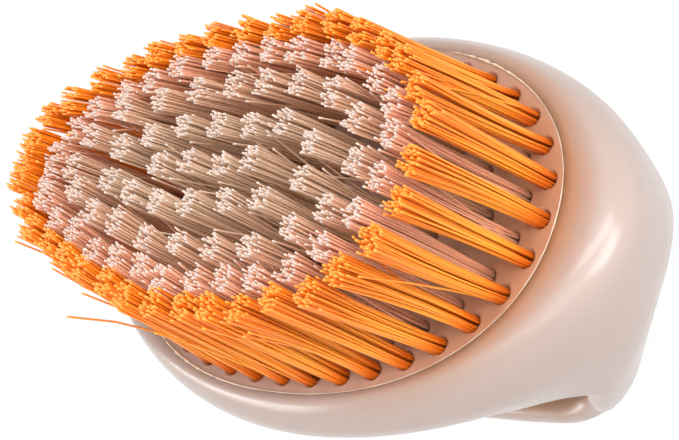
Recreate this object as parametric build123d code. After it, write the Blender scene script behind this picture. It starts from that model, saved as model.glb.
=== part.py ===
from build123d import *
import math
import os

# Vegetable brush with a finger loop, bristles up, standing on the crown of its loop.
# X runs along the head from toe to heel, Y across it, Z up through the bristles.
# The origin is at the middle of the flat foot. Lengths are in millimetres.

# Head and loop
head_length = 98.5
head_width = 60.0
body_height = 44.0
head_thickness = 17.5
strap_thickness = 7.0
loop_shoulder_wall = 8.8
loop_end_wall = 5.5
rim_radius = 1.5
mouth_radius = 2.0
tunnel_corner_radius = 4.0
tunnel_floor_radius = 11.0

# Cross sections of the body from the rim down to the foot: height as a share of the
# body height, length and width as shares of the head's, and the roundness exponent.
section_shares = (
    (1.000, 0.926, 0.908, 2.05),
    (0.886, 0.998, 0.998, 1.92),
    (0.773, 0.968, 0.945, 2.1),
    (0.591, 0.896, 0.737, 2.8),
    (0.409, 0.766, 0.645, 4.2),
    (0.227, 0.640, 0.582, 5.0),
    (0.091, 0.508, 0.510, 5.0),
    (0.000, 0.330, 0.380, 4.0),
)

# Bristle plate, set into the head inside a land of the rim
end_land = 9.65
side_land = 4.0
plate_exponent = 2.15
plate_thickness = 9.0
plate_clearance = 0.1

# Face of the plate, in one slice round each ring of tufts
face_thickness = 1.5
slice_clearance = 0.05

# Tufts, each folded round an anchor in its own blind hole
hole_diameter = 2.6
hole_sides = 8
hole_depth = 6.0
strand_width = 0.72
strand_gap = 0.12
tuft_split = 0.38
tuft_splay_share = 1.5
stiff_trim_height = 25.4
soft_trim_height = 24.6

# Flat wire anchors
anchor_clearance = 0.05
anchor_height = 1.6
anchor_thickness = 0.35

# Rings of tufts from the rim inwards: number of tufts, ring length and width as shares
# of the plate's, and where the first tuft stands as a share of the pitch. A ring with
# no width is a straight row.
stiff_ring_shares = (36, 0.942, 0.912, 0.0)
soft_ring_shares = (
    (30, 0.846, 0.777, 0.5),
    (20, 0.704, 0.554, 0.0),
    (14, 0.518, 0.285, 0.5),
    (4, 0.252, 0.000, 0.0),
)

# The trimmed tips against their holes: the face of tips is drawn in across the brush,
# more at the toe than at the heel, and leans by a share of the trim height. The stiff
# ring leans outwards besides.
stiff_spread_share = 1.038
soft_spread_share = 1.0
trim_length_share = 1.006
trim_width_share = 0.794
trim_toe_taper_share = 0.28
trim_lean_along_share = -0.047
trim_lean_across_share = -0.106

overrun = 1.0
outline_points = 24
arc_steps = 720

plate_length = head_length - 2 * end_land
plate_width = head_width - 2 * side_land
plate_floor = body_height - plate_thickness
plate_top = body_height - face_thickness
ceiling_height = body_height - head_thickness


def outline_point(length, width, exponent, turn):
    """Point of a superellipse, a turn of 0 to 1 from the heel by way of +Y."""
    c, s = math.cos(2 * math.pi * turn), math.sin(2 * math.pi * turn)
    k = (abs(c) ** exponent + abs(s) ** exponent) ** (-1 / exponent)
    return length / 2 * k * c, width / 2 * k * s


def outline(length, width, exponent, height):
    """Closed superellipse at a height, as one smooth edge."""
    turns = [i / outline_points for i in range(outline_points)]
    points = [(*outline_point(length, width, exponent, t), height) for t in turns]
    return Wire([Spline(*points, periodic=True)])


def disc(length, width, exponent, height, thickness):
    """Flat superelliptic disc, standing on a height."""
    face = Face(outline(length, width, exponent, height))
    return extrude(face, amount=thickness, dir=(0, 0, 1))


def half_length_at(height):
    """Half length of the body at a height, between its cross sections."""
    rows = [(body_height * h, head_length / 2 * l) for h, l, w, n in section_shares]
    for (high, above), (low, below) in zip(rows, rows[1:]):
        if height >= low:
            return below + (above - below) * (height - low) / (high - low)
    return rows[-1][1]


def body_envelope():
    """Head and loop without any hole, lofted through the cross sections."""
    wires = [
        outline(head_length * l, head_width * w, n, body_height * h)
        for h, l, w, n in section_shares
    ]
    solid = Solid.make_loft(wires)
    rim = solid.edges().group_by(Axis.Z)[-1]
    return fillet(rim, rim_radius)


def finger_tunnel():
    """The space for the fingers, straight through across the body."""
    top = half_length_at(ceiling_height) - loop_shoulder_wall
    bottom = half_length_at(strap_thickness) - loop_end_wall
    corners = [
        (-top, ceiling_height),
        (top, ceiling_height),
        (bottom, strap_thickness),
        (-bottom, strap_thickness),
    ]
    profile = make_face(Polyline(*corners, close=True))
    profile = fillet(profile.vertices().group_by(Axis.Y)[-1], tunnel_corner_radius)
    profile = fillet(profile.vertices().group_by(Axis.Y)[0], tunnel_floor_radius)
    return extrude(Plane.XZ * profile, amount=head_width / 2 + overrun, both=True)


def make_handle_body():
    """Moulded head and finger loop in one piece, open for the fingers and the plate."""
    body = body_envelope() - finger_tunnel()
    mouths = [
        e for e in body.edges()
        if abs(e.center().Y) > rim_radius
        and strap_thickness - mouth_radius < e.center().Z < ceiling_height + mouth_radius
    ]
    body = fillet(mouths, mouth_radius)
    recess = disc(
        plate_length + 2 * plate_clearance,
        plate_width + 2 * plate_clearance,
        plate_exponent, plate_floor, plate_thickness + overrun,
    )
    return body - recess


def ring_places(tufts, length_share, width_share, start_share):
    """Places of a ring's tufts on the plate, evenly spaced along the ring."""
    length, width = plate_length * length_share, plate_width * width_share
    if width_share == 0:
        pitch = length / (tufts - 1)
        return [(pitch * i - length / 2, 0.0) for i in range(tufts)]
    points = [
        outline_point(length, width, plate_exponent, i / arc_steps)
        for i in range(arc_steps + 1)
    ]
    run = [0.0]
    for a, b in zip(points, points[1:]):
        run.append(run[-1] + math.dist(a, b))
    places = []
    for i in range(tufts):
        target = run[-1] * (i + start_share) / tufts
        j = next(k for k, r in enumerate(run) if r >= target)
        places.append(points[j])
    return places


def tip_place(x, y, trim, spread):
    """Where the tip of the tuft at x, y stands in the trimmed face."""
    taper = 1 + trim_toe_taper_share * x / (plate_length / 2)
    return (
        x * spread * trim_length_share + trim * trim_lean_along_share,
        y * spread * trim_width_share * taper + trim * trim_lean_across_share,
    )


def tuft_strands(x, y, trim, spread):
    """Two pairs of four-sided strands, one pair on each side of the anchor's plane."""
    tip_x, tip_y = tip_place(x, y, trim, spread)
    root_height = body_height - face_thickness / 2
    rise = body_height + trim - root_height
    strands = []
    for side_x in (-1, 1):
        for side_y in (-1, 1):
            off_x = side_x * (strand_width + strand_gap) / 2
            off_y = side_y * (strand_width + tuft_split) / 2
            grow = tuft_splay_share - 1
            run = Vector(tip_x - x + off_x * grow, tip_y - y + off_y * grow, rise)
            foot = Pos(x + off_x, y + off_y, root_height) * Rectangle(strand_width, strand_width)
            strands.append(extrude(foot, amount=run.length, dir=run))
    return strands


def make_bristle_ring(places, trim, spread, outer, inner):
    """Every strand of a ring fused to its slice of the plate's face."""
    slice_disc = disc(*outer, plate_exponent, plate_top, face_thickness)
    if inner:
        slice_disc -= disc(*inner, plate_exponent, plate_top - overrun, face_thickness + 2 * overrun)
    strands = [s.solid() for x, y in places for s in tuft_strands(x, y, trim, spread)]
    return slice_disc.solid().fuse(*strands)


def make_anchors(places):
    """One flat anchor standing on the floor of each hole of a ring."""
    width = hole_diameter - 2 * anchor_clearance
    middle = plate_top - hole_depth + anchor_height / 2
    return Compound([
        Solid.make_box(width, anchor_thickness, anchor_height).moved(
            Location((x - width / 2, y - anchor_thickness / 2, middle - anchor_height / 2))
        )
        for x, y in places
    ])


def make_bristle_plate(all_places):
    """Insert with a blind hole for every tuft, the holes in flats round their diameter."""
    plate = disc(plate_length, plate_width, plate_exponent, plate_floor, plate_top - plate_floor)
    mouth = RegularPolygon(hole_diameter / 2, hole_sides, major_radius=False)
    hole = extrude(mouth, amount=hole_depth + overrun).solid()
    holes = [hole.moved(Location((x, y, plate_top - hole_depth))) for x, y in all_places]
    return plate.solid().cut(*holes)


def slice_sizes(rings):
    """Outer length and width of each ring's slice, halfway to the ring outside it."""
    sizes = [(plate_length, plate_width)]
    for (_, l0, w0, _), (_, l1, w1, _) in zip(rings, rings[1:]):
        sizes.append((plate_length * (l0 + l1) / 2, plate_width * (w0 + w1) / 2))
    return sizes


os.makedirs("parts", exist_ok=True)

export_step(make_handle_body(), "parts/handle_body.step")

rings = [stiff_ring_shares, *soft_ring_shares]
names = ["stiff"] + [f"soft_{i + 1}" for i in range(len(soft_ring_shares))]
trims = [stiff_trim_height] + [soft_trim_height] * len(soft_ring_shares)
spreads = [stiff_spread_share] + [soft_spread_share] * len(soft_ring_shares)
places = [ring_places(*ring) for ring in rings]
sizes = slice_sizes(rings)

export_step(make_bristle_plate([p for ring in places for p in ring]), "parts/bristle_plate.step")

for i, name in enumerate(names):
    inner = None
    if i + 1 < len(sizes):
        inner = tuple(size + 2 * slice_clearance for size in sizes[i + 1])
    ring = make_bristle_ring(places[i], trims[i], spreads[i], sizes[i], inner)
    export_step(ring, f"parts/{name}_bristles.step")
    export_step(make_anchors(places[i]), f"parts/{name}_anchors.step")
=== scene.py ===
# %% [markdown]
# # A vegetable brush with a finger loop
# The construction model gives the exact frame: a moulded head with a loop for the
# fingers, an inset plate with blind holes, and rings of tufts. This file dresses it.
# First the model is loaded, because every piece here takes its place from it.

# %% Load the frame
import bpy
import math
import numpy as np
from mathutils import Matrix, Vector


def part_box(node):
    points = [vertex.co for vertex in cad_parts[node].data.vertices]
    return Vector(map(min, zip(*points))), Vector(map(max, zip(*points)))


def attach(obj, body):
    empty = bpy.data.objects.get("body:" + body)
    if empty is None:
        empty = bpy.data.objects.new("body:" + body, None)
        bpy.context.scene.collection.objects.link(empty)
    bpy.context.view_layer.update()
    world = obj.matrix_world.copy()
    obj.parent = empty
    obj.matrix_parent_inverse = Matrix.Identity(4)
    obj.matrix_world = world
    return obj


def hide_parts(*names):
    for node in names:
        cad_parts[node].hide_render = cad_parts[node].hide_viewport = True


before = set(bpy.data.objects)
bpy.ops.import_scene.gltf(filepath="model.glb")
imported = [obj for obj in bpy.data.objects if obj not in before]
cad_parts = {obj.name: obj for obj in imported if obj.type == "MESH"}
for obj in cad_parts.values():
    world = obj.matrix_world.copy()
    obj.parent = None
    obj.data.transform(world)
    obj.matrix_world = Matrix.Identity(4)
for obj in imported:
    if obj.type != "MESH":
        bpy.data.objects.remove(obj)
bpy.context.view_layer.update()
MM = 0.001
print("nodes:", sorted(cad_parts))

# %% [markdown]
# ## Camera
# The photograph looks down on the bristles from about 40 degrees, with a long lens, and
# the brush is turned in the picture. A camera is a place and three directions: the
# picture's right and up, and the line of sight. They were fitted to the rings of tufts.

# %% Set up the camera
picture_width, picture_height = 679, 440
focal_pixels = 2000.0
camera_place = Vector((198.814, -76.367, 223.758)) * MM
picture_right = Vector((0.70251369, 0.2885284, -0.65055813))
picture_up = Vector((-0.00899202, 0.91765433, 0.39727783))
picture_back = picture_right.cross(picture_up)

camera_data = bpy.data.cameras.new("camera")
camera_data.sensor_fit = "HORIZONTAL"
camera_data.sensor_width = 36.0
camera_data.lens = focal_pixels * camera_data.sensor_width / picture_width
camera_data.clip_start, camera_data.clip_end = 0.01, 20.0
camera = bpy.data.objects.new("camera", camera_data)
bpy.context.scene.collection.objects.link(camera)
turn = Matrix((picture_right, picture_up, picture_back)).transposed()
camera.matrix_world = Matrix.Translation(camera_place) @ turn.to_4x4()
bpy.context.scene.camera = camera
print("lens in mm:", round(camera_data.lens, 2))

# %% [markdown]
# ## Helpers for node materials
# A material is a small network. These helpers add a node, set its plain values and join
# sockets, so that each finish below reads as a short recipe. Colours are noted as they
# look on a screen and turned into the linear values that the shader needs.

# %% Small helpers for materials
def screen(r, g, b):
    """Linear colour of a screen colour: below 0.04045 the value / 12.92, else
    ((value + 0.055) / 1.055) to the power 2.4."""
    c = np.array([r, g, b])
    low, high = c / 12.92, ((c + 0.055) / 1.055) ** 2.4
    return (*np.where(c <= 0.04045, low, high), 1.0)


def new_material(name):
    """An empty node material with its output, and its tree."""
    material = bpy.data.materials.new(name)
    material.use_nodes = True
    tree = material.node_tree
    tree.nodes.clear()
    tree.nodes.new("ShaderNodeOutputMaterial").name = "output"
    return material, tree


def node(tree, kind, values=None, **settings):
    """A node of one kind, with settings as attributes and values for its sockets."""
    made = tree.nodes.new(kind)
    for key, value in settings.items():
        setattr(made, key, value)
    for key, value in (values or {}).items():
        made.inputs[key].default_value = value
    return made


def ramp(tree, source, stops):
    """A colour ramp fed by a socket, its stops given as (place, screen colour)."""
    made = tree.nodes.new("ShaderNodeValToRGB")
    made.color_ramp.interpolation = "EASE"
    elements = made.color_ramp.elements
    while len(elements) < len(stops):
        elements.new(0.5)
    for element, (place, colour) in zip(elements, stops):
        element.position = place
        element.color = screen(*colour)
    tree.links.new(source, made.inputs["Fac"])
    return made.outputs["Color"]


def blend_colours(tree, share, first, second, mode="MIX"):
    """Mix of two colour sockets; share is a socket or a number."""
    made = node(tree, "ShaderNodeMix", data_type="RGBA", blend_type=mode)
    if isinstance(share, (int, float)):
        made.inputs[0].default_value = share
    else:
        tree.links.new(share, made.inputs[0])
    for socket, value in ((made.inputs[6], first), (made.inputs[7], second)):
        if isinstance(value, tuple):
            socket.default_value = value
        else:
            tree.links.new(value, socket)
    return made.outputs[2]


def noise(tree, scale, detail=2.0, stretch=(1, 1, 1)):
    """Noise over the object's own coordinates, stretched along its axes."""
    place = node(tree, "ShaderNodeTexCoord")
    mapping = node(tree, "ShaderNodeMapping", {"Scale": stretch})
    grain = node(tree, "ShaderNodeTexNoise", {"Scale": scale, "Detail": detail})
    tree.links.new(place.outputs["Object"], mapping.inputs["Vector"])
    tree.links.new(mapping.outputs["Vector"], grain.inputs["Vector"])
    return grain.outputs["Fac"]


def bump(tree, source, distance, strength=1.0, under=None):
    """Bump normals from a height socket, on top of another bump if one is given."""
    made = node(tree, "ShaderNodeBump", {"Distance": distance, "Strength": strength})
    tree.links.new(source, made.inputs["Height"])
    if under:
        tree.links.new(under, made.inputs["Normal"])
    return made.outputs["Normal"]


def stretch_range(tree, source, low, high):
    """A 0 to 1 socket mapped to a narrower range."""
    made = node(tree, "ShaderNodeMapRange", {"To Min": low, "To Max": high})
    tree.links.new(source, made.inputs["Value"])
    return made.outputs["Result"]


def plastic(tree, values, **links):
    """The principled shader with plain values on its sockets and the given links."""
    shader = node(tree, "ShaderNodeBsdfPrincipled", values)
    for key, source in links.items():
        tree.links.new(source, shader.inputs[key.replace("_", " ")])
    tree.links.new(shader.outputs["BSDF"], tree.nodes["output"].inputs["Surface"])
    return shader


print("material helpers ready")

# %% [markdown]
# ## Floor, backdrop and light
# The photograph has a pure white ground. The floor here is a large plain sheet: what the
# camera or a glossy surface sees of it is nearly self-white, with a part that the lamps
# light, so that the brush keeps its soft shadow. All other rays meet plain pale paint.

# %% Lay the floor
def white_ground(name):
    """White to the camera and to gloss, with a share of lit paint that takes shadow."""
    material, tree = new_material(name)
    path = node(tree, "ShaderNodeLightPath")
    seen = node(tree, "ShaderNodeMath", operation="MAXIMUM")
    seen_too = node(tree, "ShaderNodeMath", operation="MAXIMUM")
    tree.links.new(path.outputs["Is Camera Ray"], seen.inputs[0])
    tree.links.new(path.outputs["Is Glossy Ray"], seen.inputs[1])
    tree.links.new(seen.outputs[0], seen_too.inputs[0])
    tree.links.new(path.outputs["Is Transmission Ray"], seen_too.inputs[1])
    paint = node(tree, "ShaderNodeBsdfDiffuse", {"Color": (0.66, 0.66, 0.66, 1)})
    glow = node(tree, "ShaderNodeEmission", {"Color": (1, 1, 1, 1), "Strength": 1.06})
    lit = node(tree, "ShaderNodeMixShader", {"Fac": 0.12})
    tree.links.new(glow.outputs[0], lit.inputs[1])
    tree.links.new(paint.outputs[0], lit.inputs[2])
    choice = node(tree, "ShaderNodeMixShader")
    tree.links.new(seen_too.outputs[0], choice.inputs["Fac"])
    tree.links.new(paint.outputs[0], choice.inputs[1])
    tree.links.new(lit.outputs[0], choice.inputs[2])
    tree.links.new(choice.outputs[0], tree.nodes["output"].inputs["Surface"])
    return material


floor_half = 4.0
floor_mesh = bpy.data.meshes.new("floor")
floor_mesh.from_pydata(
    [(-floor_half, -floor_half, 0), (floor_half, -floor_half, 0),
     (floor_half, floor_half, 0), (-floor_half, floor_half, 0)], [], [(0, 1, 2, 3)])
floor = bpy.data.objects.new("floor", floor_mesh)
floor.data.materials.append(white_ground("white_ground"))
floor.location.z = -0.2 * MM
bpy.context.scene.collection.objects.link(floor)
print("floor laid")

# %% [markdown]
# The light is that of a product table: one large soft lamp beside the camera, a narrow
# one on the upper left for the highlight down the heel of the head, a wide weak one on
# the lower left, and a low one behind on the left, which draws the bright band along the
# rolled rim. An even pale surround keeps the other sides light.

# %% Hang the lamps
lamp_aim = Vector((0.0, 0.0, 45 * MM))


def soft_lamp(name, right, up, back, distance, width, height, watts):
    """A rectangular lamp that looks at the middle of the brush. Its direction is a sum
    of the picture's right, up and back directions, each times its weight. Distance,
    width and height are in metres."""
    data = bpy.data.lights.new(name, "AREA")
    data.shape = "RECTANGLE"
    data.size, data.size_y, data.energy = width, height, watts
    lamp = bpy.data.objects.new(name, data)
    towards = (picture_right * right + picture_up * up + picture_back * back).normalized()
    lamp.location = lamp_aim + towards * distance
    lamp.rotation_euler = towards.to_track_quat("Z", "Y").to_euler()
    bpy.context.scene.collection.objects.link(lamp)
    print(name, "stands at height", round(lamp.location.z, 2))


soft_lamp("key_lamp", 0.14, 0.22, 1.0, 0.75, 0.45, 0.45, 4.7)
soft_lamp("strip_lamp", -0.35, 0.50, 0.70, 0.75, 0.16, 0.45, 1.8)
soft_lamp("fill_lamp", -0.5, -0.3, 1.0, 0.9, 0.6, 0.6, 1.8)
soft_lamp("left_lamp", -0.80, -0.38, -0.25, 0.8, 0.50, 0.20, 2.9)

world = bpy.data.worlds.new("surround")
world.use_nodes = True
bpy.context.scene.world = world
surround = world.node_tree.nodes["Background"]
surround.inputs["Color"].default_value = (1.0, 0.985, 0.97, 1)
surround.inputs["Strength"].default_value = 0.68
tree = world.node_tree
path = node(tree, "ShaderNodeLightPath")
plain = node(tree, "ShaderNodeBackground", {"Color": (1, 1, 1, 1), "Strength": 1.0})
pick = node(tree, "ShaderNodeMixShader")
tree.links.new(path.outputs["Is Camera Ray"], pick.inputs["Fac"])
tree.links.new(surround.outputs[0], pick.inputs[1])
tree.links.new(plain.outputs[0], pick.inputs[2])
tree.links.new(pick.outputs[0], tree.nodes["World Output"].inputs["Surface"])
bpy.context.scene.view_settings.view_transform = "Standard"
print("lamps and surround set")

# %% [markdown]
# ## Surfaces from arrays
# Every new piece is a set of points worked out as whole arrays, and faces that join
# them by number. One helper puts both into a mesh, and can carry numbers for each point,
# which the materials read.

# %% Turn arrays into pieces
def add_piece(name, points, faces, material, marks=None):
    """A smooth mesh object from points (n, 3) in mm and arrays of faces (m, corners),
    with a number for each point under every name in marks."""
    mesh = bpy.data.meshes.new(name)
    corners = np.concatenate([f.ravel() for f in faces]).astype(np.int32)
    sizes = np.concatenate([np.full(len(f), f.shape[1]) for f in faces])
    starts = (np.cumsum(sizes) - sizes).astype(np.int32)
    mesh.vertices.add(len(points))
    mesh.vertices.foreach_set("co", (points * MM).astype(np.float32).ravel())
    mesh.loops.add(len(corners))
    mesh.loops.foreach_set("vertex_index", corners)
    mesh.polygons.add(len(sizes))
    mesh.polygons.foreach_set("loop_start", starts)
    mesh.update(calc_edges=True)
    mesh.validate()
    for key, values in (marks or {}).items():
        layer = mesh.attributes.new(key, "FLOAT", "POINT")
        layer.data.foreach_set("value", values.astype(np.float32).ravel())
    mesh.shade_smooth()
    mesh.materials.append(material)
    piece = bpy.data.objects.new(name, mesh)
    bpy.context.scene.collection.objects.link(piece)
    triangles = sum(len(f) * (f.shape[1] - 2) for f in faces)
    print(name, "-", len(points), "points,", triangles, "triangles")
    return piece


def ring_quads(rows, columns):
    """Faces between closed rows of points: corner (row, column), the next column, and
    the same two of the next row, the last column joining the first."""
    r, c = np.meshgrid(np.arange(rows - 1), np.arange(columns), indexing="ij")
    n = (c + 1) % columns
    return np.stack([r * columns + c, r * columns + n,
                     (r + 1) * columns + n, (r + 1) * columns + c], -1).reshape(-1, 4)


print("piece helpers ready")

# %% [markdown]
# ## Where the tufts stand
# The tufts stand in rings round the plate, at even steps along each ring, and the
# innermost are a straight row. The same ring sizes as in the construction give the
# places, and the reach of the anchors in the frame is printed beside them.

# %% Work out the rings
plate_low, plate_high = (np.array(v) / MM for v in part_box("bristle_plate"))
plate_length, plate_width = 79.2, 52.0
plate_exponent = 2.15
seam_height = 44.0
rings = {
    "stiff": (36, 0.942, 0.912, 0.0),
    "soft_1": (30, 0.846, 0.777, 0.5),
    "soft_2": (20, 0.704, 0.554, 0.0),
    "soft_3": (14, 0.518, 0.285, 0.5),
    "soft_4": (4, 0.252, 0.000, 0.0),
}


def superellipse(length, width, exponent, turns):
    """Points whose |cos| and |sin| to the exponent add up to one: the circle's point
    at each turn, divided by (|cos|^n + |sin|^n)^(1/n), times the half sizes."""
    c, s = np.cos(2 * np.pi * turns), np.sin(2 * np.pi * turns)
    k = (np.abs(c) ** exponent + np.abs(s) ** exponent) ** (-1 / exponent)
    return np.stack([length / 2 * k * c, width / 2 * k * s], -1)


def even_places(tufts, length_share, width_share, start_share):
    """Even steps along the ring: the run is summed from chord to chord, and the
    points at equal shares of it are read back by interpolation."""
    length, width = plate_length * length_share, plate_width * width_share
    if width_share == 0:
        return np.stack([np.linspace(-length / 2, length / 2, tufts), np.zeros(tufts)], -1)
    line = superellipse(length, width, plate_exponent, np.linspace(0, 1, 2881))
    run = np.concatenate([[0], np.cumsum(np.linalg.norm(np.diff(line, axis=0), axis=1))])
    at = run[-1] * (np.arange(tufts) + start_share) / tufts
    return np.stack([np.interp(at, run, line[:, i]) for i in (0, 1)], -1)


tuft_places = {name: even_places(*sizes) for name, sizes in rings.items()}
for name, places in tuft_places.items():
    low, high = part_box(f"{name}_anchors")
    print(name, len(places), "tufts; reach", np.round(places.max(0), 2),
          "anchors reach", round(high.x / MM, 2), round(high.y / MM, 2))

# %% [markdown]
# ## Bristles
# A tuft is a bundle of nylon filaments, folded in half round a wire in its hole, so that
# twice as many ends stand up. The bundle is tight at the plate and opens towards the
# trimmed face, where every cut end is a small pale dot. A hair system could grow them,
# but plain tubes worked out in one array show the thickness of the filaments and stay
# the same in every program.
#
# No tuft is quite like the next: its tip wanders a little, its ends scatter, the trim is
# not quite level, and a few filaments have sprung out of the bundle.

# %% Lay out the filaments
rng = np.random.default_rng(20417)
filaments_per_tuft = 58
golden_turn = math.pi * (3 - math.sqrt(5))
trim_length_share, trim_width_near, trim_width_far = 1.006, 0.794, 0.78
toe_taper_near, toe_taper_far = 0.28, 0.168
lean_along, lean_across = 0.047, 0.106
root_depth = 1.1
fold_gap, root_flatness = 0.20, 0.86
tip_wander, end_scatter, push_scatter = 0.34, 0.22, 2.1
lowest_end, highest_end = -1.5, 0.6


def trimmed_place(xy, trim, spread):
    """Where a hole's tuft ends in the trimmed face: drawn in across the brush, more at
    the toe than at the heel, and leaning by a share of the trim."""
    far = xy[:, 1] > 0
    taper = 1 + np.where(far, toe_taper_far, toe_taper_near) * xy[:, 0] / (plate_length / 2)
    width_share = np.where(far, trim_width_far, trim_width_near)
    xy = xy * spread
    return np.stack([xy[:, 0] * trim_length_share - lean_along * trim,
                     xy[:, 1] * width_share * taper - lean_across * trim], -1)


def tuft_filaments(places, trim, spread, root_radius, tip_radius, stray_share):
    """Start, end and bend of every filament. In a tuft the filaments sit on a
    sunflower spiral: the radius goes with the root of the number, and each next one
    turns by the golden angle. Each half of the folded bundle is drawn to its own side
    of the wire."""
    tufts, count = len(places), filaments_per_tuft
    number = np.arange(count) + 0.5
    angle = number * golden_turn + rng.uniform(0, 2 * np.pi, (tufts, 1))
    reach = np.sqrt(number / count)
    disc = np.stack([reach * np.cos(angle), reach * np.sin(angle)], -1)
    half = np.sign(disc[..., 1:]) * np.array([0.0, fold_gap])
    root = places[:, None] + disc * root_radius * np.array([1.0, root_flatness]) + half
    tips = trimmed_place(places, trim, spread) + rng.normal(0, tip_wander, (tufts, 2))
    grow = tip_radius * rng.uniform(0.86, 1.14, (tufts, 1, 1))
    loose = rng.normal(0, end_scatter, (tufts, count, 2))
    tip = tips[:, None] + disc * grow + half * 1.4 + loose
    height = seam_height + trim + rng.normal(-0.1, 0.25, (tufts, 1))
    uneven = rng.normal(-0.1, 0.38, (tufts, count))
    height = height + np.clip(uneven, lowest_end, highest_end)
    stray = rng.random((tufts, count)) < stray_share
    push = rng.normal(0, push_scatter, (tufts, count, 2))
    tip = tip + np.where(stray[..., None], push, 0)
    height = height - np.where(stray, np.linalg.norm(push, axis=-1) * 0.35, 0)
    start = np.concatenate([root, np.full((tufts, count, 1), seam_height - root_depth)], -1)
    end = np.concatenate([tip, height[..., None]], -1)
    bend = rng.normal(0, 0.10, (tufts, count, 3)) + rng.normal(0, 0.18, (tufts, 1, 3))
    opening = (tip - tips[:, None]) - (root - places[:, None])
    bend[..., :2] -= 0.16 * opening
    bend[..., 2] = 0
    return start.reshape(-1, 3), end.reshape(-1, 3), bend.reshape(-1, 3)


def tubes(start, end, bend, radius, mushroom, sides):
    """Closed tubes, each with its own radius. The centre line at share t is start +
    t (end - start) + 4 t (1 - t) bend, and a circle of points stands across it; the cut
    end swells a little and has a low dome."""
    t = np.array([0, 0.18, 0.42, 0.7, 0.975, 1.0])
    run = end - start
    centre = start[:, None] + run[:, None] * t[:, None]
    centre = centre + bend[:, None] * (4 * t * (1 - t))[:, None]
    along = run / np.linalg.norm(run, axis=1, keepdims=True)
    across = np.cross(along, [0.0, 1.0, 0.0])
    across /= np.linalg.norm(across, axis=1, keepdims=True)
    beside = np.cross(along, across)
    turn = 2 * np.pi * np.arange(sides) / sides
    circle = (across[:, None] * np.cos(turn)[:, None] + beside[:, None] * np.sin(turn)[:, None])
    swell = np.ones(len(t))
    swell[-2:] = (1.0, mushroom)
    reach = radius[:, None] * swell
    body = centre[:, :, None] + circle[:, None] * reach[:, :, None, None]
    dome = end + along * radius[:, None] * 0.3
    count, rows = len(start), len(t)
    points = np.concatenate([body.reshape(count, -1, 3), dome[:, None]], 1)
    size = rows * sides + 1
    first = (np.arange(count) * size)[:, None, None]
    walls = (first + ring_quads(rows, sides)).reshape(-1, 4)
    c = np.arange(sides)
    rim = (rows - 1) * sides
    cap = np.stack([rim + c, rim + (c + 1) % sides, np.full(sides, size - 1)], -1)
    caps = (first + cap).reshape(-1, 3)
    feet = first[:, 0] + c[::-1]
    share = np.concatenate([np.repeat(t, sides), [1.0]])
    cut = (share >= 1.0) * 1.0
    return points.reshape(-1, 3), [walls, caps, feet], share, cut


def bristles(name, groups, glow, radius, mushroom, sides, material, nodes):
    """One piece of all the filaments of some rings, with four numbers on each point:
    how far along it is, whether it is the cut end, the filament's own tone, and the share
    of painted orange glow from the ring outside it."""
    sets = [tuft_filaments(*group) for group in groups]
    start, end, bend = (np.concatenate(parts) for parts in zip(*sets))
    thick = radius * rng.uniform(0.90, 1.10, len(start))
    points, faces, share, cut = tubes(start, end, bend, thick, mushroom, sides)
    tone = rng.uniform(0, 1, len(start))
    glow_share = np.repeat(glow, [len(part[0]) for part in sets])
    marks = {"along": np.tile(share, len(start)), "cut": np.tile(cut, len(start)),
             "tone": np.repeat(tone, len(share)), "glow_share": np.repeat(glow_share, len(share))}
    piece = add_piece(name, points, faces, material, marks)
    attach(piece, "root")
    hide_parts(*nodes)
    return piece


print("filaments in all:", filaments_per_tuft * sum(len(p) for p in tuft_places.values()))

# %% [markdown]
# Nylon filament lets light through, so the sides glow and the depth of a tuft stays
# warm. The colour runs from deep at the plate, a painted shade where the bundle crowds,
# to bright at the tips, no two filaments are quite the same, and the sawn ends scatter
# light and look nearly white.

# %% Mix the nylon
def nylon(name, root, middle, tip, cut, glow, roughness, through):
    """Filament finish: colour along the filament, deepest at the plate as painted shade,
    own tone, a painted glow of the colour that comes through from the next ring, pale cut
    end."""
    material, tree = new_material(name)
    along = node(tree, "ShaderNodeAttribute", attribute_name="along")
    tone = node(tree, "ShaderNodeAttribute", attribute_name="tone")
    cut_end = node(tree, "ShaderNodeAttribute", attribute_name="cut")
    # the deeper colour at the root is painted shade at the crowded foot of the bundle
    side = ramp(tree, along.outputs["Fac"], [(0.02, root), (0.35, middle), (1.0, tip)])
    shade = ramp(tree, tone.outputs["Fac"], [(0.0, (0.93, 0.91, 0.89)), (1.0, (1, 1, 1))])
    toned = blend_colours(tree, 1.0, side, shade, "MULTIPLY")
    glow_share = node(tree, "ShaderNodeAttribute", attribute_name="glow_share")
    # painted glow: soft filaments near the orange ring are tinted towards the orange light that
    # comes through from it
    toned = blend_colours(tree, glow_share.outputs["Fac"], toned, screen(*glow))
    colour = blend_colours(tree, cut_end.outputs["Fac"], toned, screen(*cut))
    streak = noise(tree, 900, 1.0, (1, 1, 0.06))
    rough = stretch_range(tree, streak, roughness - 0.08, roughness + 0.10)
    plastic(tree, {
        "IOR": 1.53,
        "Subsurface Weight": through,
        "Subsurface Radius": (1.0, 1.0, 1.0),
        "Subsurface Scale": 0.0002,
        "Specular IOR Level": 0.6,
        "Sheen Weight": 0.25,
        "Sheen Roughness": 0.5,
        "Sheen Tint": screen(*tip),
    }, Base_Color=colour, Roughness=rough, Normal=bump(tree, streak, 0.00002, 0.4))
    return material


# The first colour of each, at the root, is deepened as painted shade; the fifth is the painted
# glow from the orange ring.
stiff_nylon = nylon("orange_nylon", (1.0, 0.48, 0.08), (1.0, 0.64, 0.18),
                    (1.0, 0.56, 0.12), (1.0, 0.62, 0.22), (1.0, 0.5, 0.1), 0.36, 0.12)
soft_nylon = nylon("natural_nylon", (0.96, 0.77, 0.60), (0.97, 0.82, 0.67),
                   (0.91, 0.78, 0.67), (0.81, 0.75, 0.72), (1.0, 0.66, 0.50), 0.46, 0.12)
print("nylon mixed")

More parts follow.
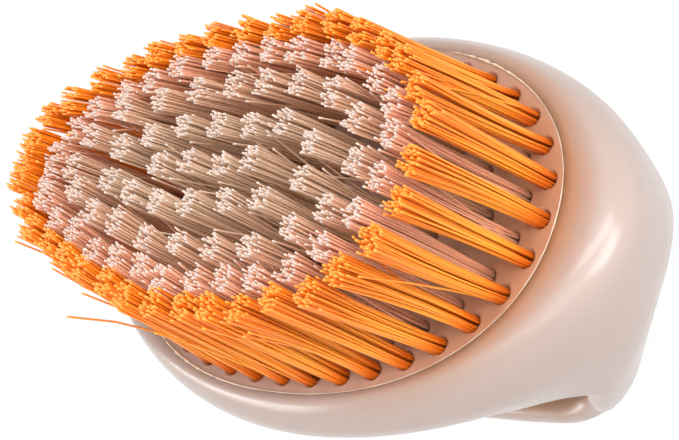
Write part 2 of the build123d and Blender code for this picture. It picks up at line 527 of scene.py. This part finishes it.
# %% Set the bristles
stiff_trim, soft_trim = 25.4, 24.6
stiff_spread, soft_spread = 1.038, 1.0
stiff_radius, soft_radius = 0.152, 0.136
soft_names = [f"soft_{i}" for i in (1, 2, 3, 4)]
stiff_group = (tuft_places["stiff"], stiff_trim, stiff_spread, 1.02, 1.55, 0.03)
soft_groups = [(tuft_places[n], soft_trim, soft_spread, 1.04, 1.48, 0.05) for n in soft_names]
stiff = bristles("stiff_filaments", [stiff_group], [0.0], stiff_radius, 1.15, 5,
                 stiff_nylon, ["stiff_bristles"])
# Shares of painted orange glow for each soft ring: the outer rings take most of the light from the
# orange ring.
soft = bristles("soft_filaments", soft_groups, [0.55, 0.2, 0.0, 0.0], soft_radius, 1.25, 4,
                soft_nylon, [f"{n}_bristles" for n in soft_names])

# %% [markdown]
# ## Moulded plastics
# The body, the plate and the flash are the same family of cream plastic: glossy, a
# little translucent, with a slow drift of tone from the melt. Beside the seam at the heel,
# and inside the finger loop, a tan tint is painted over the cream: painted orange bounce
# from the orange bristles on the land, and a painted glow of the light that comes through
# the thin wall on the floor of the loop. A painted picture could hold that painted light,
# but two smooth masks worked out from the place on the object do it at any size. The
# body's rim looks rounder than its construction fillet, so its normals are averaged
# over a small distance.

# %% Mix the plastics
# Where the painted warm light lies: the land between these elliptic radii and heights, fading in
# towards the heel, and the loop floor between these heights.
land_outer, land_inner = 1.17, 0.98
land_low, land_high = 38, 42
warm_light_starts, warm_light_full = 5, 36
loop_high, loop_low = 20, 12


def between(tree, source, low, high):
    """A share that goes smoothly from 0 at low to 1 at high."""
    made = node(tree, "ShaderNodeMapRange", {"From Min": low, "From Max": high},
                interpolation_type="SMOOTHSTEP")
    tree.links.new(source, made.inputs["Value"])
    return made.outputs["Result"]


def product(tree, first, second):
    """One socket times another."""
    made = node(tree, "ShaderNodeMath", operation="MULTIPLY")
    tree.links.new(first, made.inputs[0])
    tree.links.new(second, made.inputs[1])
    return made.outputs[0]


def painted_warm_light(tree, colour, tan):
    """Painted warm light: the cream is tinted tan as painted orange bounce from the
    bristles on the land beside the seam, most at the heel, and as a painted glow of the
    light through the wall on the floor of the finger loop. The land is found from the
    elliptic radius, which is one at the seam, and the floor from its height and its upward
    face."""
    place = node(tree, "ShaderNodeTexCoord")
    seam = node(tree, "ShaderNodeVectorMath", operation="MULTIPLY")
    seam.inputs[1].default_value = (2 / (plate_length * MM), 2 / (plate_width * MM), 0)
    tree.links.new(place.outputs["Object"], seam.inputs[0])
    radius = node(tree, "ShaderNodeVectorMath", operation="LENGTH")
    tree.links.new(seam.outputs[0], radius.inputs[0])
    where = node(tree, "ShaderNodeSeparateXYZ")
    tree.links.new(place.outputs["Object"], where.inputs[0])
    facing = node(tree, "ShaderNodeSeparateXYZ")
    tree.links.new(place.outputs["Normal"], facing.inputs[0])
    land = product(tree, between(tree, radius.outputs["Value"], land_outer, land_inner),
                   between(tree, where.outputs["Z"], land_low * MM, land_high * MM))
    heel = between(tree, where.outputs["X"], warm_light_starts * MM, warm_light_full * MM)
    land = product(tree, land, heel)
    loop = product(tree, between(tree, where.outputs["Z"], loop_high * MM, loop_low * MM),
                   between(tree, facing.outputs["Z"], 0.1, 1.6))
    share = node(tree, "ShaderNodeMath", operation="MAXIMUM")
    tree.links.new(land, share.inputs[0])
    tree.links.new(loop, share.inputs[1])
    return blend_colours(tree, share.outputs[0], colour, screen(*tan))


def moulded(name, light, dark, roughness, coat, through, tan=None, soften=0.0):
    """Moulded plastic: a slow change of tone from the flow of the melt, a faint skin
    texture, and roughness that varies where fingers and trays have rubbed it. It may
    carry painted warm light in places, a tan tint for bounced and transmitted light, and
    its edges may look rounder by a number of mm."""
    material, tree = new_material(name)
    flow = noise(tree, 22, 1.0, (0.5, 1, 1.4))
    colour = ramp(tree, flow, [(0.0, dark), (1.0, light)])
    soft_edge = None
    if tan:
        # painted warm light: a tan tint for the orange bounce beside the seam and the glow through
        # the wall in the loop
        colour = painted_warm_light(tree, colour, tan)
    if soften:
        soft_edge = node(tree, "ShaderNodeBevel", {"Radius": soften * MM}, samples=6).outputs[0]
    rub = noise(tree, 60, 3.0)
    skin = noise(tree, 1800, 1.0)
    plastic(tree, {
        "IOR": 1.49,
        "Subsurface Weight": through,
        "Subsurface Radius": (1.0, 0.6, 0.4),
        "Subsurface Scale": 0.003,
        "Coat Weight": coat,
        "Coat Roughness": 0.06,
    }, Base_Color=colour, Roughness=stretch_range(tree, rub, roughness - 0.05, roughness + 0.06),
        Normal=bump(tree, skin, 0.000006, 0.5, soft_edge))
    return material


print("plastics mixed")

# %% [markdown]
# ## Face of the plate
# Between the tufts the inset plate shows, with the rim of each hole slightly raised by
# the staple gun. It is one skin over a polar grid: straight down at the edge, and on top
# a field of shallow craters that depends only on the distance to the nearest hole.

# %% Mould the plate's face
crater_radius, crater_depth, lip_height = 1.30, 1.15, 0.10
underside = plate_high[2] + 0.02


def plate_face(rings_out=120, columns=520):
    """Top height = seam height + lip of each hole - crater, where the crater is a
    smooth step of the distance to the nearest hole centre, in a disc whose outline is
    the plate's superellipse; below it the skin closes at the slice's underside."""
    share = np.linspace(0, 1, rings_out)[1:]
    outline = superellipse(plate_length, plate_width, plate_exponent, np.arange(columns) / columns)
    xy = (share[:, None, None] * outline).reshape(-1, 2)
    holes = np.concatenate(list(tuft_places.values()))
    near = np.full(len(xy), 1e9)
    for part in np.array_split(np.arange(len(xy)), 40):
        near[part] = np.linalg.norm(xy[part, None] - holes[None], axis=-1).min(1)
    step = np.clip((crater_radius - near) / 0.25, 0, 1)
    crater = step * step * (3 - 2 * step) * crater_depth
    lip = lip_height * np.exp(-((near - 1.55) / 0.22) ** 2)
    top = np.column_stack([xy, seam_height - crater + lip]).reshape(rings_out - 1, columns, 3)
    wall = top[-1:].copy()
    wall[..., 2] = underside
    rows = np.concatenate([top, wall])
    count = len(rows) * columns
    middle = np.array([[0, 0, seam_height], [0, 0, underside]])
    points = np.concatenate([rows.reshape(-1, 3), middle])
    walls = ring_quads(len(rows), columns)[:, ::-1]
    c = np.arange(columns)
    n = (c + 1) % columns
    inner = np.stack([c, n, np.full(columns, count)], -1)
    last = (len(rows) - 1) * columns
    under = np.stack([last + n, last + c, np.full(columns, count + 1)], -1)
    print("craters in the plate:", len(holes))
    return points, [walls, inner, under]


# The plate's cream is warmer and more orange than the body's: painted orange bounce and shade from
# the tufts around it. Its tan is painted warm light, as on the body.
plate_plastic = moulded("cream_plate", (0.74, 0.62, 0.56), (0.66, 0.53, 0.47), 0.32, 0.2, 0.2,
                        tan=(0.70, 0.50, 0.38))
points, faces = plate_face()
face = add_piece("plate_face", points, faces, plate_plastic)
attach(face, "root")
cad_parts["bristle_plate"].data.materials.clear()
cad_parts["bristle_plate"].data.materials.append(plate_plastic)

# %% [markdown]
# ## The moulded body
# The head and its loop are one moulding in a warm, faintly pearly cream. Its shape comes
# from the construction model, so only its finish is made here, and so is that of the
# wire anchors, which are drawn steel and sit out of sight in their holes.

# %% Finish the body and the anchors
# The body's tan is painted warm light: orange bounce from the bristles and light through the thin
# wall.
body_plastic = moulded("pearl_cream", (0.73, 0.665, 0.64), (0.645, 0.565, 0.525), 0.24, 0.22, 0.35,
                       tan=(0.66, 0.47, 0.32), soften=2.2)
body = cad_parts["handle_body"]
body.data.materials.clear()
body.data.materials.append(body_plastic)


def drawn_wire(name):
    """Bright drawn steel, with fine lines along the wire."""
    material, tree = new_material(name)
    lines = noise(tree, 1500, 2.0, (0.05, 1, 1))
    colour = ramp(tree, lines, [(0.2, (0.66, 0.66, 0.67)), (0.8, (0.80, 0.80, 0.80))])
    plastic(tree, {"Metallic": 1.0}, Base_Color=colour,
            Roughness=stretch_range(tree, lines, 0.22, 0.40),
            Normal=bump(tree, lines, 0.00001, 0.4))
    return material


steel_wire = drawn_wire("drawn_steel")
for name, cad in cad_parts.items():
    if name.endswith("_anchors"):
        cad.data.materials.clear()
        cad.data.materials.append(steel_wire)
print("body and anchors finished")

# %% [markdown]
# ## Flash along the seam
# Where the plate was pressed into the head, a thin thread of pale flash stands up along
# the seam. It is a fine tube along the plate's outline whose thickness and height wander.

# %% Draw the flash
flash_columns, flash_sides = 1200, 6
flash_waves = ((3, 0.4, 0.3), (7, 1.9, 0.3), (17, 0.7, 0.25), (41, 2.6, 0.2))
flash_heaps = ((0.26, 0.165, 0.028), (0.20, 0.655, 0.045))


def flash_thread(columns, sides):
    """A closed tube: the centre follows the plate's outline, its radius a sum of slow
    waves round the seam with two rough heaps, each a bell curve times fast waves, and
    each point stands off by the cosine and sine of its turn."""
    turns = np.arange(columns) / columns
    line = superellipse(plate_length, plate_width, plate_exponent, turns)
    ahead = np.roll(line, -1, 0) - np.roll(line, 1, 0)
    ahead /= np.linalg.norm(ahead, axis=1, keepdims=True)
    out = np.stack([ahead[:, 1], -ahead[:, 0]], -1)
    waves = sum(a * np.sin(2 * np.pi * k * turns + p) for k, p, a in flash_waves)
    rough = 0.6 + 0.2 * np.sin(2 * np.pi * 151 * turns) + 0.25 * np.sin(2 * np.pi * 83 * turns + 1)
    heaps = sum(a * np.exp(-((turns - at) / wide) ** 2) for a, at, wide in flash_heaps)
    radius = np.clip(0.065 + 0.05 * waves + heaps * rough, 0.035, 0.32)
    turn = 2 * np.pi * np.arange(sides) / sides
    off = radius[:, None] * np.cos(turn)
    up = radius[:, None] * np.sin(turn) * 1.4
    xy = line[:, None] + out[:, None] * off[..., None]
    z = seam_height + 0.05 + up
    return np.concatenate([xy, z[..., None]], -1).reshape(-1, 3)


def torus_quads(rows, columns):
    """Faces of a grid whose rows and columns both close."""
    r, c = np.meshgrid(np.arange(rows), np.arange(columns), indexing="ij")
    m, n = (r + 1) % rows, (c + 1) % columns
    return np.stack([r * columns + c, m * columns + c, m * columns + n,
                     r * columns + n], -1).reshape(-1, 4)


pale_flash = moulded("pale_flash", (0.92, 0.82, 0.72), (0.86, 0.74, 0.62), 0.34, 0.2, 0.3)
flash = add_piece("seam_flash", flash_thread(flash_columns, flash_sides),
                  [torus_quads(flash_columns, flash_sides)], pale_flash)
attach(flash, "root")
